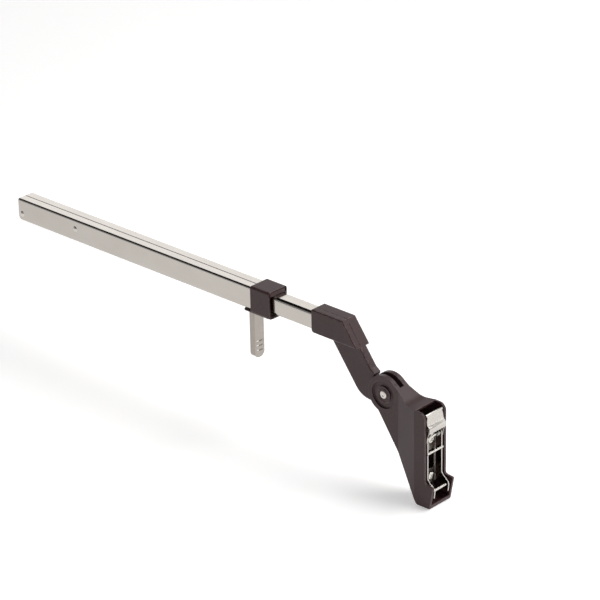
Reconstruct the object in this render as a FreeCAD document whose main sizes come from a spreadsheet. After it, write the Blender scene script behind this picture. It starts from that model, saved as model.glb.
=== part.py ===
"""Telescopic clip-on bracket arm: two sliding rails, a moulded elbow and a pivoting clip foot.

Frame, in millimetres: the origin is the middle of the foot's mounting plane, +X points out of
that plane, +Z is up and the rails run back along -X, level, symmetric about the XZ plane.
"""

import FreeCAD, Part
import math
import os
import Sketcher
from FreeCAD import Placement, Rotation, Vector

# ---------------------------------------------------------------- driving dimensions

DIMENSIONS = {
    # telescopic rails
    "rail_width": 18.0, "rail_height": 20.0, "rail_wall": 1.5, "rail_corner": 1.8,
    "rail_shown": 282.0, "rail_seam": 0.5, "rail_heel_radius": 4.5, "rail_axis_height": 73.4,
    "slide_gap_side": 0.3, "slide_gap_top": 0.7, "inner_wall": 1.2, "inner_corner": 2.8,
    "inner_shown": 43.5, "inner_hidden": 159.5,
    # rivets and blocks inside the outer rail
    "rivet_shank": 3.0, "rivet_head": 5.6, "rivet_dome": 1.2,
    "end_rivet_inset": 4.0, "end_rivet_drop": 3.4, "stop_rivet_inset": 72.0, "stop_rivet_rise": 1.5,
    "plug_length": 9.0, "plug_fit": 0.1, "stop_length": 10.0,
    # collar, lever and brake
    "collar_length": 21.0, "collar_wall": 1.75, "collar_roof": 2.1, "collar_fit": 0.05, "collar_round": 2.0,
    "collar_recess": 5.0, "sole_overhang": 9.3, "sole_thick": 1.1, "sole_lip": 1.2, "sole_inset": 0.6,
    "sole_drop": 0.1, "sole_round": 3.5, "knuckle_radius": 1.9, "bridge_thick": 0.6, "collar_floor": 1.5,
    "lever_length": 43.5, "lever_width": 11.0, "lever_depth": 5.7, "lever_sheet": 1.2,
    "lever_round": 5.0, "grip_slot": 1.2, "grip_slot_length": 6.6, "grip_slot_pitch": 4.2, "grip_slot_rise": 5.8,
    "lever_pin_size": 1.8, "lever_pin_back": 3.8, "lever_pin_drop": 2.3, "lever_clearance": 0.3, "shoe_length": 6.0, "shoe_width": 7.0,
    # elbow
    "elbow_start": 124.0, "elbow_width": 16.4, "elbow_roof": 3.0, "elbow_floor": 1.7,
    "elbow_top_length": 33.6, "arm_angle": 53.2, "arm_depth": 25.0, "arm_width": 8.2,
    "parting": 2.2, "shell_bevel": 0.9, "rail_socket": 22.0, "socket_fit": 0.1,
    "arm_heel_radius": 18.0, "arm_end_gap": 0.6,
    "core_thick": 4.0, "core_width": 12.0, "core_ring": 9.0, "cross_pin": 4.0,
    "shell_screw": 2.5, "shell_screw_head": 4.6,
    # pivot
    "pivot_back": 48.5, "pivot_height": 32.7, "cheek_radius": 16.0, "cheek_width": 13.5,
    "cheek_slot": 4.6, "slot_radius": 17.0, "pivot_bolt": 5.0, "pivot_head": 6.4,
    "dish_radius": 11.8, "dish_depth": 1.5, "boss_radius": 7.3, "pivot_play": 0.05,
    # clip foot
    "foot_width": 26.0, "foot_wall": 2.1, "foot_top": 34.0, "foot_drop": 48.6, "foot_heel_back": 8.8, "foot_rear_angle": 55.7,
    "toe_reach": 8.6, "toe_start": 27.5, "foot_round": 6.0, "mouth_back": 10.5, "roof_back": 22.0,
    "flare_start": 33.0, "flare_end": 11.0, "cavity_back": 28.0, "post_radius": 3.4,
    # clip mechanism
    "chassis_width": 18.0, "window_margin": 1.2, "window_length": 16.5, "chassis_sheet": 1.2, "web_back": 7.0, "clip_bar": 2.2,
    "mid_bar_back": 0.9, "mid_bar_drop": 2.8, "hook_bar_reach": 4.5, "hook_bar_drop": 33.8,
    "latch_width": 19.6, "latch_sheet": 0.9, "latch_pin_back": 3.0, "latch_pin_height": 9.6, "neck_outer": 6.6,
    "neck_inner": 2.6,
    "web_screw": 3.0, "web_screw_head": 6.4, "web_screw_length": 8.0, "upper_screw": 5.9,
    "lower_screw": 27.2, "screw_head_height": 1.6,
}

document = FreeCAD.newDocument("clip_bracket")
sheet = document.addObject("Spreadsheet::Sheet", "sizes")
for row, (alias, number) in enumerate(DIMENSIONS.items(), start=1):
    sheet.set(f"A{row}", alias)
    sheet.set(f"B{row}", str(number))
    sheet.setAlias(f"B{row}", alias)
document.recompute()


class Size:
    """A length with its present value and the spreadsheet formula that drives it."""

    def __init__(self, number, formula):
        self.number, self.formula = float(number), formula

    def __float__(self):
        return self.number

    def _join(self, other, sign, swap=False):
        other = other if isinstance(other, Size) else Size(other, repr(other))
        left, right = (other, self) if swap else (self, other)
        numbers = {
            "+": left.number + right.number,
            "-": left.number - right.number,
            "*": left.number * right.number,
            "/": left.number / right.number if right.number else math.inf,
        }
        return Size(numbers[sign], f"({left.formula} {sign} {right.formula})")

    def __add__(self, other):
        return self._join(other, "+")

    def __radd__(self, other):
        return self._join(other, "+", swap=True)

    def __sub__(self, other):
        return self._join(other, "-")

    def __rsub__(self, other):
        return self._join(other, "-", swap=True)

    def __mul__(self, other):
        return self._join(other, "*")

    def __rmul__(self, other):
        return self._join(other, "*", swap=True)

    def __truediv__(self, other):
        return self._join(other, "/")

    def __neg__(self):
        return 0.0 - self


class Sizes:
    """Reads each driving dimension back from the spreadsheet under its own name."""

    def __getattr__(self, alias):
        return Size(sheet.get(alias), f"sizes.{alias}")


s = Sizes()
nodes = {}

# ---------------------------------------------------------------- building helpers


def bind(target, prop, size):
    """Set a property from a Size, tied to the sheet, or from a plain number."""
    if isinstance(size, Size):
        target.setExpression(prop, size.formula)
    else:
        target.setExpression(prop, repr(float(size)))


def locate(target, x=0.0, y=0.0, z=0.0):
    """Tie the position of a primitive to the sheet."""
    for axis, size in zip("xyz", (x, y, z)):
        bind(target, f"Placement.Base.{axis}", size)
    return target


def block(name, x, y, z):
    """Box from three (low, high) pairs of sizes."""
    box = document.addObject("Part::Box", name)
    for prop, (low, high) in zip(("Length", "Width", "Height"), (x, y, z)):
        bind(box, prop, high - low)
    return locate(box, x[0], y[0], z[0])


def cross_pin(name, radius, x, z, y_low, y_high):
    """Cylinder along Y."""
    pin = document.addObject("Part::Cylinder", name)
    bind(pin, "Radius", radius)
    bind(pin, "Height", y_high - y_low)
    pin.Placement.Rotation = Rotation(Vector(1, 0, 0), -90)
    return locate(pin, x, y_low, z)


def forward_pin(name, radius, x_low, x_high, y, z):
    """Cylinder along X."""
    pin = document.addObject("Part::Cylinder", name)
    bind(pin, "Radius", radius)
    bind(pin, "Height", x_high - x_low)
    pin.Placement.Rotation = Rotation(Vector(0, 1, 0), 90)
    return locate(pin, x_low, y, z)


def cut(name, base, *tools):
    """Base less every tool."""
    for number, tool in enumerate(tools, start=1):
        result = document.addObject("Part::Cut", f"{name}_cut_{number}")
        result.Base, result.Tool = base, tool
        base = result
    return base


def fuse(name, *shapes):
    """Union as one solid with shared faces removed."""
    result = document.addObject("Part::MultiFuse", f"{name}_fuse")
    result.Shapes = list(shapes)
    result.Refine = True
    return result


def common(name, first, second):
    """Overlap of two objects."""
    result = document.addObject("Part::MultiCommon", f"{name}_common")
    result.Shapes = [first, second]
    return result


def gather(name, *pieces):
    """Several separate solids kept as one node."""
    group = document.addObject("Part::Compound", f"{name}_group")
    group.Links = list(pieces)
    return group


def keep(name, result):
    """Register the object that becomes the named node."""
    result.Label = name
    nodes[name] = result
    return result


PLANE_ROLES = {"XZ": "XZ_Plane", "YZ": "YZ_Plane", "XY": "XY_Plane"}


def outline_sketch(body, name, plane, corners, offset):
    """Closed outline of straight edges in one of the body's planes, each corner tied to the sheet."""
    sketch = body.newObject("Sketcher::SketchObject", name)
    role = PLANE_ROLES[plane]
    sketch.AttachmentSupport = [
        (feature, "") for feature in body.Origin.OriginFeatures if feature.Role == role
    ]
    sketch.MapMode = "FlatFace"
    bind(sketch, "AttachmentOffset.Base.z", offset)
    points = [Vector(float(across), float(up), 0) for across, up in corners]
    count = len(points)
    for index, point in enumerate(points):
        sketch.addGeometry(Part.LineSegment(point, points[(index + 1) % count]), False)
    for index in range(count):
        sketch.addConstraint(Sketcher.Constraint("Coincident", index, 2, (index + 1) % count, 1))
    for index, corner in enumerate(corners):
        for kind, size in zip(("DistanceX", "DistanceY"), corner):
            number = sketch.addConstraint(
                Sketcher.Constraint(kind, -1, 1, index, 1, float(size))
            )
            bind(sketch, f"Constraints[{number}]", size)
    return sketch


def prism(name, plane, corners, low, high):
    """Body padded from an outline: low and high are the two ends along the plane's own axis."""
    body = document.addObject("PartDesign::Body", name)
    offset = -high if plane == "XZ" else low
    sketch = outline_sketch(body, f"{name}_outline", plane, corners, offset)
    pad = body.newObject("PartDesign::Pad", f"{name}_pad")
    pad.Profile = sketch
    bind(pad, "Length", high - low)
    body.Tip = pad
    document.recompute()
    return body


def edges_along(shape, axis, spots=None, tolerance=0.05):
    """Names of the straight edges along an axis, all of them or those through the given spots.

    A spot is the edge's place in the two other axes, in XYZ order.
    """
    others = [index for index in range(3) if index != axis]
    names = []
    for number, edge in enumerate(shape.Edges, start=1):
        if edge.Curve.TypeId != "Part::GeomLine":
            continue
        direction = edge.tangentAt(edge.FirstParameter)
        if abs(abs(direction[axis]) - 1.0) > tolerance:
            continue
        middle = edge.CenterOfMass
        for spot in spots or [tuple(middle[index] for index in others)]:
            if all(abs(middle[i] - float(v)) < tolerance for i, v in zip(others, spot)):
                names.append(f"Edge{number}")
                break
    return names


def soften(body, edge_names, radius, kind="Fillet"):
    """Fillet or chamfer named edges of a PartDesign body, tied to the sheet."""
    feature = body.newObject(f"PartDesign::{kind}", f"{body.Name}_{kind.lower()}")
    feature.Base = (body.Tip if body.Tip != feature else feature.BaseFeature, edge_names)
    bind(feature, "Radius" if kind == "Fillet" else "Size", radius)
    body.Tip = feature
    document.recompute()
    return body


def soften_corners(body, axis, spots, radius, kind="Fillet"):
    """Fillet or chamfer the straight edges that pass through the given spots."""
    return soften(body, edges_along(body.Tip.Shape, axis, spots), radius, kind)


def rectangle(y_half, z_low, z_high):
    """Corners of an upright rectangle centred on the XZ plane."""
    return [(-y_half, z_low), (y_half, z_low), (y_half, z_high), (-y_half, z_high)]


def rounded_bar(name, x_low, x_high, y_half, z_low, z_high, radius):
    """Solid bar along X with its four long edges rounded."""
    corners = rectangle(y_half, z_low, z_high)
    body = prism(name, "YZ", corners, x_low, x_high)
    return soften_corners(body, 0, corners, radius)


# ---------------------------------------------------------------- shared places

axis_z = s.rail_axis_height
rail_half = s.rail_width / 2
rail_floor = axis_z - s.rail_height / 2
rail_roof = axis_z + s.rail_height / 2
collar_front = -(s.elbow_start + s.inner_shown)
collar_back = collar_front - s.collar_length
rail_back = collar_back - s.rail_shown
rail_front = collar_front - s.collar_recess

inner_half = rail_half - s.rail_wall - s.slide_gap_side
inner_floor = rail_floor + s.rail_wall + s.slide_gap_top
inner_roof = rail_roof - s.rail_wall - s.slide_gap_top
inner_front = s.rail_socket - s.elbow_start
inner_back = collar_back - s.inner_hidden

end_rivet = (rail_back + s.end_rivet_inset, axis_z - s.end_rivet_drop)
stop_rivet = (rail_back + s.stop_rivet_inset, axis_z + s.stop_rivet_rise)

pivot = (-s.pivot_back, s.pivot_height)
cheek_half = s.cheek_width / 2
slot_half = s.cheek_slot / 2
foot_half = s.foot_width / 2

web_front = -s.web_back
web_rear = web_front - s.chassis_sheet
chassis_half = s.chassis_width / 2
mid_bar = (-s.mid_bar_back, -s.mid_bar_drop)
hook_bar = (s.hook_bar_reach, -s.hook_bar_drop)
latch_pin = (-s.latch_pin_back, s.latch_pin_height)

lever_pin_place = (collar_back - s.lever_pin_back, rail_floor - s.lever_pin_drop)

# ---------------------------------------------------------------- outer rail


def build_outer_rail():
    """Roll-formed tube with its seam on top, rivet holes and a window for the brake shoe."""
    skin = rounded_bar("outer_skin", rail_back, rail_front, rail_half, rail_floor, rail_roof,
                       s.rail_corner)
    overrun = 1.0
    hollow = rounded_bar("outer_hollow", rail_back - overrun, rail_front + overrun,
                         rail_half - s.rail_wall, rail_floor + s.rail_wall,
                         rail_roof - s.rail_wall, s.rail_corner / 2)
    seam = block("outer_seam", (rail_back - overrun, rail_front + overrun),
                 (-s.rail_seam / 2, s.rail_seam / 2),
                 (rail_roof - s.rail_wall - overrun, rail_roof + overrun))
    heel = block("heel_block", (rail_back - overrun, rail_back + s.rail_heel_radius),
                 (-rail_half - overrun, rail_half + overrun),
                 (rail_floor - overrun, rail_floor + s.rail_heel_radius))
    heel_round = cross_pin("heel_round", s.rail_heel_radius, rail_back + s.rail_heel_radius,
                           rail_floor + s.rail_heel_radius, -rail_half - 2 * overrun,
                           rail_half + 2 * overrun)
    heel_corner = cut("heel", heel, heel_round)
    holes = [
        cross_pin(f"rivet_hole_{number}", s.rivet_shank / 2, x, z, -rail_half - overrun,
                  rail_half + overrun)
        for number, (x, z) in enumerate((end_rivet, stop_rivet), start=1)
    ]
    window = block("shoe_window", (shoe_back - s.lever_clearance, shoe_front + s.lever_clearance),
                   (-s.shoe_width / 2 - s.lever_clearance, s.shoe_width / 2 + s.lever_clearance),
                   (rail_floor - overrun, rail_floor + s.rail_wall + overrun / 2))
    keep("outer_rail", cut("outer_rail", skin, hollow, seam, heel_corner, window, *holes))


shoe_back = collar_back + 1.5
shoe_front = shoe_back + s.shoe_length


def build_rail_rivets():
    """Two rivets across the rail, domed on the near side and flat on the far side."""
    pieces = []
    for number, (x, z) in enumerate((end_rivet, stop_rivet), start=1):
        shank = cross_pin(f"rivet_shank_{number}", s.rivet_shank / 2, x, z, -rail_half,
                          rail_half + 0.6)
        foot = cross_pin(f"rivet_foot_{number}", s.rivet_head / 2 - 0.5, x, z, rail_half,
                         rail_half + 0.6)
        ball_radius = (s.rivet_head * s.rivet_head / 4 + s.rivet_dome * s.rivet_dome) / (
            2 * s.rivet_dome)
        ball = document.addObject("Part::Sphere", f"rivet_ball_{number}")
        bind(ball, "Radius", ball_radius)
        locate(ball, x, s.rivet_dome - ball_radius - rail_half + (ball_radius - s.rivet_dome) * 2,
               z)
        shell = block(f"rivet_shell_{number}", (x - s.rivet_head, x + s.rivet_head),
                      (-rail_half - 2 * s.rivet_dome, -rail_half),
                      (z - s.rivet_head, z + s.rivet_head))
        dome = common(f"rivet_dome_{number}", ball, shell)
        pieces.append(fuse(f"rivet_{number}", shank, foot, dome))
    keep("rail_rivets", gather("rail_rivets", *pieces))


def build_rail_blocks():
    """Plastic end plug and steel travel stop, each held inside the rail by its rivet."""
    half = rail_half - s.rail_wall - s.plug_fit
    low = rail_floor + s.rail_wall + s.plug_fit
    high = rail_roof - s.rail_wall - s.plug_fit
    plug_start = rail_back + 0.5
    plug = rounded_bar("plug_bar", plug_start, plug_start + s.plug_length, half, low, high,
                       s.rail_corner / 2)
    heel_cut = block("plug_heel", (rail_back - 1.0, rail_back + s.rail_heel_radius),
                     (-rail_half, rail_half), (rail_floor, rail_floor + s.rail_heel_radius))
    plug_hole = cross_pin("plug_hole", s.rivet_shank / 2, *end_rivet, -rail_half, rail_half)
    keep("rail_end_plug", cut("rail_end_plug", plug, heel_cut, plug_hole))
    stop_x = stop_rivet[0]
    stop = rounded_bar("stop_bar", stop_x - s.stop_length / 2, stop_x + s.stop_length / 2, half,
                       low, high, s.rail_corner / 2)
    stop_hole = cross_pin("stop_hole", s.rivet_shank / 2, *stop_rivet, -rail_half, rail_half)
    keep("travel_stop", cut("travel_stop", stop, stop_hole))


# ---------------------------------------------------------------- collar, lever and brake

collar_half = rail_half + s.collar_wall
collar_floor = rail_floor - s.collar_floor
collar_roof = rail_roof + s.collar_roof
lug_inner = s.lever_width / 2 + s.lever_clearance
knuckle_half = s.lever_width / 2 - s.lever_sheet - s.lever_clearance


def build_collar():
    """Moulded sleeve around both rails, on a thin sole with a knuckle that carries the lever pin."""
    overrun = 1.0
    sleeve = rounded_bar("collar_sleeve", collar_back, collar_front, collar_half, collar_floor,
                         collar_roof, s.collar_round)
    sole_back = collar_back - s.sole_overhang
    sole_front = collar_front + s.sole_lip
    sole = prism("collar_sole", "XY", [
        (sole_back, -collar_half + s.sole_inset), (sole_front, -collar_half + s.sole_inset),
        (sole_front, collar_half - s.sole_inset), (sole_back, collar_half - s.sole_inset),
    ], collar_floor - s.sole_drop, collar_floor - s.sole_drop + s.sole_thick)
    soften(sole, edges_along(sole.Tip.Shape, 2), s.sole_round)
    fillet_side = prism("collar_root", "XZ", [
        (sole_back + 2.0, collar_floor), (sole_front - 1.0, collar_floor),
        (collar_front - 2.0, rail_floor), (collar_back - 2.0, rail_floor),
    ], -collar_half + 1.5, collar_half - 1.5)
    pin_x, pin_z = lever_pin_place
    knuckle = cross_pin("collar_knuckle", s.knuckle_radius, pin_x, pin_z, -knuckle_half,
                        knuckle_half)
    knuckle_stem = block("collar_knuckle_stem", (pin_x - s.knuckle_radius, pin_x + s.knuckle_radius),
                         (-knuckle_half, knuckle_half), (pin_z, rail_floor - s.collar_fit))
    bore = rounded_bar("collar_bore", collar_back - 3 * s.sole_overhang, collar_front + 3 * overrun,
                       rail_half + s.collar_fit, rail_floor - s.collar_fit,
                       rail_roof + s.collar_fit, s.rail_corner)
    lever_bay = block("lever_bay", (pin_x - s.lever_depth, shoe_front + s.lever_clearance),
                      (-lug_inner, lug_inner), (collar_floor - overrun, rail_floor + overrun))
    pin_hole = cross_pin("lever_pin_hole", s.lever_pin_size / 2, pin_x, pin_z, -collar_half,
                         collar_half)
    shell = cut("collar_shell", fuse("collar_skin", sleeve, sole, fillet_side), lever_bay)
    whole = fuse("collar_whole", shell, knuckle_bridge(), knuckle, knuckle_stem)
    keep("collar_housing", cut("collar_housing", whole, bore, pin_hole))


def knuckle_bridge():
    """Strip across the lever bay, under the rail, that the knuckle hangs from."""
    pin_x = lever_pin_place[0]
    return block("collar_bridge", (pin_x - s.knuckle_radius, pin_x + s.knuckle_radius),
                 (-lug_inner - 1.0, lug_inner + 1.0),
                 (rail_floor - s.bridge_thick, rail_floor - s.collar_fit))


def build_lever():
    """Sheet-metal channel that hangs from its pin, with a cam nose and three grip slots."""
    x, z = lever_pin_place
    half = s.lever_width / 2
    front, back = x + s.lever_depth / 2 + 0.1, x - s.lever_depth / 2 + 0.1
    bottom = z - s.lever_length
    ear_top = z + 1.2
    side = prism("lever_side", "XZ", [
        (back, bottom), (front, bottom), (front, z - 2.4), (x + 1.0, ear_top), (x - 1.0, ear_top),
        (back, z - 2.4),
    ], -half, half)
    soften_corners(side, 1, [(back, bottom)], s.lever_depth / 2)
    inside = block("lever_inside", (back - 1.0, front - s.lever_sheet),
                   (-half + s.lever_sheet, half - s.lever_sheet), (bottom - 1.0, ear_top + 1.0))
    trim = block("lever_corner_block", (back - 1.0, front + 1.0), (-half - 1.0, half + 1.0),
                 (bottom - 1.0, bottom + s.lever_round))
    face = prism("lever_face", "YZ", rectangle(half + 0.01, bottom, ear_top + 5.0), back - 2.0,
                 front + 2.0)
    soften_corners(face, 0, [(-half - 0.01, bottom), (half + 0.01, bottom)], s.lever_round)
    corner_waste = cut("lever_corners", trim, face)
    slots = [
        block(f"grip_slot_{number}", (front - 2 * s.lever_sheet, front + 1.0),
              (-s.grip_slot_length / 2, s.grip_slot_length / 2),
              (low, low + s.grip_slot))
        for number, low in enumerate(grip_slots(bottom), start=1)
    ]
    web_relief = block("lever_relief", (back - 1.0, front + 1.0),
                       (-half + s.lever_sheet, half - s.lever_sheet), (z - 2.0, ear_top + 1.0))
    pin_hole = cross_pin("lever_hole", s.lever_pin_size / 2 + s.pivot_play, x, z, -half - 1.0,
                         half + 1.0)
    nose = prism("lever_nose", "XZ", [
        (front - s.lever_sheet, z - 3.0), (front, z - 3.0), (shoe_front - 1.0, z - 0.3),
        (shoe_front - 1.0, z + 0.5), (shoe_back + 0.6, z + 0.5),
    ], -s.shoe_width / 2 + 0.5, s.shoe_width / 2 - 0.5)
    channel = cut("lever", side, inside, corner_waste, web_relief, pin_hole, *slots)
    keep("release_lever", fuse("release_lever", channel, nose))
    pin = cross_pin("lever_pin_bar", s.lever_pin_size / 2, x, z, -half, half)
    keep("lever_pin", pin)


def grip_slots(bottom):
    """Lower edges of the three grip slots near the lever's free end."""
    return [bottom + s.grip_slot_rise + step * s.grip_slot_pitch for step in range(3)]


def build_brake():
    """Brake shoe that the lever's nose lifts through the window in the outer rail."""
    shoe_top = inner_floor - 0.3
    shoe_bottom = lever_pin_place[1] + 0.9
    shoe = block("shoe_block", (shoe_back, shoe_front), (-s.shoe_width / 2, s.shoe_width / 2),
                 (shoe_bottom, shoe_top))
    keep("brake_shoe", shoe)


# ---------------------------------------------------------------- inner rail


def build_inner_rail():
    """Inner tube that runs from the elbow socket back into the outer rail."""
    skin = rounded_bar("inner_skin", inner_back, inner_front, inner_half, inner_floor, inner_roof,
                       s.inner_corner)
    hollow = rounded_bar("inner_hollow", inner_back - 1.0, inner_front + 1.0,
                         inner_half - s.inner_wall, inner_floor + s.inner_wall,
                         inner_roof - s.inner_wall, s.inner_corner - s.inner_wall)
    pin_hole = cross_pin("inner_pin_hole", s.cross_pin / 2, *cross_pin_place, -rail_half,
                         rail_half)
    keep("inner_rail", cut("inner_rail", skin, hollow, pin_hole))
    rim = rounded_bar("glide_rim", inner_back - 2.0, inner_back, inner_half + s.slide_gap_side / 2,
                      inner_floor - s.slide_gap_top / 2, inner_roof + s.slide_gap_top / 2,
                      s.inner_corner)
    stem = rounded_bar("glide_stem", inner_back, inner_back + 8.0, inner_half - s.inner_wall,
                       inner_floor + s.inner_wall, inner_roof - s.inner_wall,
                       s.inner_corner - s.inner_wall)
    keep("rail_glide", fuse("rail_glide", rim, stem))


cross_pin_place = (inner_front - 9.0, axis_z)

# ---------------------------------------------------------------- elbow and arm

elbow_back = -s.elbow_start
elbow_front = elbow_back + s.elbow_top_length
elbow_roof = inner_roof + s.elbow_roof
elbow_floor = inner_floor - s.elbow_floor
elbow_half = s.elbow_width / 2
arm_half = s.arm_width / 2
slope_run = math.cos(math.radians(float(s.arm_angle)))
slope_drop = math.sin(math.radians(float(s.arm_angle)))


def on_front_line(z):
    """X of the sloping front face at a height."""
    return elbow_front + (elbow_roof - z) * (slope_run / slope_drop)


def on_rear_line(z):
    """X of the arm's rear face at a height."""
    return on_front_line(z) - s.arm_depth / slope_drop


arm_tip_top = pivot[1] + 16.8
arm_flat = pivot[1] - 11.4


def arm_outline():
    """Outline of the sloping arm, from inside the elbow down to the pivot."""
    head = elbow_floor + 4.0
    return [
        (on_rear_line(head), head), (on_front_line(head), head),
        (on_front_line(arm_tip_top), arm_tip_top), (pivot[0] - 11.4, pivot[1] + 13.6),
        (pivot[0] - 12.5, pivot[1] + 8.0), (pivot[0] - 8.0, arm_flat),
        (on_rear_line(arm_flat), arm_flat),
    ]


def build_core():
    """Steel core of the arm: a tail inside the inner rail, a sloping limb and the pivot ring."""
    half = s.core_thick / 2
    tail_half = (inner_roof - inner_floor) / 2 - s.inner_wall - 0.1
    tail_back = cross_pin_place[0] - 6.0
    bend = on_front_line(axis_z) - s.arm_depth / slope_drop / 2
    reach = s.core_width / 2 / slope_drop
    tail = prism("core_tail", "XZ", [
        (tail_back, axis_z - tail_half), (inner_front + 1.0, axis_z - tail_half),
        (inner_front + 1.0, axis_z + tail_half), (tail_back, axis_z + tail_half),
    ], -half, half)
    lower = pivot[1] + 6.0
    centre_low = on_front_line(lower) - s.arm_depth / slope_drop / 2
    limb = prism("core_limb", "XZ", [
        (bend - reach - 2.0, axis_z + tail_half), (bend + reach - 4.0, axis_z + tail_half),
        (centre_low + reach, lower), (pivot[0], pivot[1] + s.core_ring),
        (pivot[0] - 1.0, pivot[1] - s.core_ring), (centre_low - reach + 3.0, lower - 12.0),
    ], -half, half)
    ring = cross_pin("core_ring_disc", s.core_ring, *pivot, -half, half)
    hole = cross_pin("core_pivot_hole", s.pivot_bolt / 2 + s.pivot_play, *pivot, -half - 1.0,
                     half + 1.0)
    tail_hole = cross_pin("core_tail_hole", s.cross_pin / 2, *cross_pin_place, -half - 1.0,
                          half + 1.0)
    blank = fuse("core_blank", tail, limb, ring)
    screw_holes = [
        cross_pin(f"core_screw_hole_{number}", s.shell_screw / 2 + 0.3, *place, -half - 1.0,
                  half + 1.0)
        for number, place in enumerate(shell_screw_places(), start=1)
    ]
    keep("arm_core", cut("arm_core", blank, hole, tail_hole, *screw_holes))
    pin = cross_pin("cross_pin_bar", s.cross_pin / 2, *cross_pin_place, -inner_half, inner_half)
    keep("rail_cross_pin", pin)


def shell_screw_places():
    """Places of the screws that hold the two elbow shells together, down the arm's centre line."""
    places = []
    for height in (elbow_roof - 12.0, elbow_floor - 6.0, pivot[1] + 7.0):
        places.append((on_front_line(height) - s.arm_depth / slope_drop / 2, height))
    return places


def build_elbow_shells():
    """Near and far moulded shells, parted along the arm, clamped around rail and core."""
    fat = prism("elbow_fat", "XZ", [
        (elbow_back, elbow_floor), (on_front_line(elbow_floor), elbow_floor),
        (elbow_front, elbow_roof), (elbow_back, elbow_roof),
    ], -elbow_half, elbow_half)
    soften_corners(fat, 1, [(elbow_back, elbow_floor)], 3.0)
    soften_corners(fat, 1, [(elbow_back, elbow_roof)], 1.5)
    bevel_outline(fat, elbow_half)
    thin = prism("elbow_thin", "XZ", arm_outline(), -arm_half, arm_half)
    soften_corners(thin, 1, [(on_rear_line(arm_flat), arm_flat)], s.arm_heel_radius)
    bevel_outline(thin, arm_half)
    whole = fuse("elbow_whole", fat, thin)
    clearance = cross_pin("arm_end_round", s.cheek_radius + s.arm_end_gap, *pivot, -elbow_half,
                          elbow_half)
    socket = rounded_bar("elbow_socket", elbow_back - 1.0, inner_front + s.socket_fit,
                         inner_half + s.socket_fit, inner_floor - s.socket_fit,
                         inner_roof + s.socket_fit, s.inner_corner)
    pocket = core_pocket()
    hollow = cut("elbow_hollow", whole, clearance, socket, pocket)
    near_side = block("near_side", (elbow_back - 5.0, 0.0), (-2 * elbow_half, -s.parting),
                      (0.0, 2 * elbow_roof))
    far_side = block("far_side", (elbow_back - 5.0, 0.0), (-s.parting, 2 * elbow_half),
                     (0.0, 2 * elbow_roof))
    near_holes, far_holes, screws = [], [], []
    for number, (x, z) in enumerate(shell_screw_places(), start=1):
        outside = elbow_half if number == 1 else arm_half
        seat = outside - 1.6
        tip = -outside + 0.8
        near_holes.append(cross_pin(f"near_screw_hole_{number}", s.shell_screw / 2, x, z, tip,
                                    0.0))
        far_holes.append(cross_pin(f"far_screw_hole_{number}", s.shell_screw / 2, x, z,
                                   -2 * s.parting, outside))
        far_holes.append(cross_pin(f"far_screw_seat_{number}", s.shell_screw_head / 2, x, z, seat,
                                   outside + 1.0))
        head = cross_pin(f"shell_screw_head_{number}", s.shell_screw_head / 2, x, z, seat,
                         outside - 0.1)
        shank = cross_pin(f"shell_screw_shank_{number}", s.shell_screw / 2, x, z, tip, seat)
        screws.append(fuse(f"shell_screw_{number}", head, shank))
    near_half = common("elbow_near", hollow, near_side)
    far_half = common("elbow_far", hollow, far_side)
    keep("elbow_near_shell", cut("elbow_near_shell", near_half, *near_holes))
    keep("elbow_far_shell", cut("elbow_far_shell", far_half, *far_holes))
    keep("shell_screws", gather("shell_screws", *screws))


def bevel_outline(body, half):
    """Bevel the whole edge of a moulded plate on both of its faces."""
    shape = body.Tip.Shape
    names = [
        f"Edge{number}"
        for number, edge in enumerate(shape.Edges, start=1)
        if abs(abs(edge.CenterOfMass.y) - float(half)) < 0.01
    ]
    soften(body, names, s.shell_bevel, kind="Chamfer")


def core_pocket():
    """Room for the steel core inside the shells."""
    pocket = document.addObject("Part::Feature", "core_pocket")
    room = nodes["arm_core"].Base
    while room.TypeId == "Part::Cut":
        room = room.Base
    pocket.Shape = room.Shape.copy()
    return pocket


# ---------------------------------------------------------------- foot


def on_foot_rear(z):
    """X of the foot's straight rear edge at a height."""
    angle = math.radians(float(s.foot_rear_angle))
    return -s.foot_heel_back - (z + s.foot_drop) * (math.cos(angle) / math.sin(angle))


def foot_outline():
    """Side outline of the foot housing, from the cheek down to the toe and up the front."""
    top = s.foot_top
    cheek_low = pivot[1] - 0.6 * s.cheek_radius
    return {
        "rear_top": (on_foot_rear(cheek_low), cheek_low),
        "heel": (-s.foot_heel_back, -s.foot_drop),
        "toe_bottom": (s.toe_reach - 3.7, -s.foot_drop + 0.3),
        "toe_top": (s.toe_reach, -s.toe_start - 0.8),
        "toe_step": (0.0, -s.toe_start),
        "front_top": (0.0, top),
        "roof_back": (-s.roof_back, top),
        "neck": (pivot[0] + 0.69 * s.cheek_radius, pivot[1] + 0.725 * s.cheek_radius),
        "centre": pivot,
    }


def numbers(corners):
    """Outline corners as plain numbers."""
    return [(float(across), float(up)) for across, up in corners]


def inset_outline(corners, distance):
    """Outline moved inward by a distance, each edge parallel to its own."""
    lines = []
    count = len(corners)
    for index in range(count):
        (x0, z0), (x1, z1) = corners[index], corners[(index + 1) % count]
        length = math.hypot(x1 - x0, z1 - z0)
        normal = (-(z1 - z0) / length, (x1 - x0) / length)
        lines.append((x0 + normal[0] * distance, z0 + normal[1] * distance, x1 - x0, z1 - z0))
    moved = []
    for index in range(count):
        x0, z0, run0, rise0 = lines[index - 1]
        x1, z1, run1, rise1 = lines[index]
        spread = run0 * rise1 - rise0 * run1
        along = ((x1 - x0) * rise1 - (z1 - z0) * run1) / spread
        moved.append((x0 + run0 * along, z0 + rise0 * along))
    return moved


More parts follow.
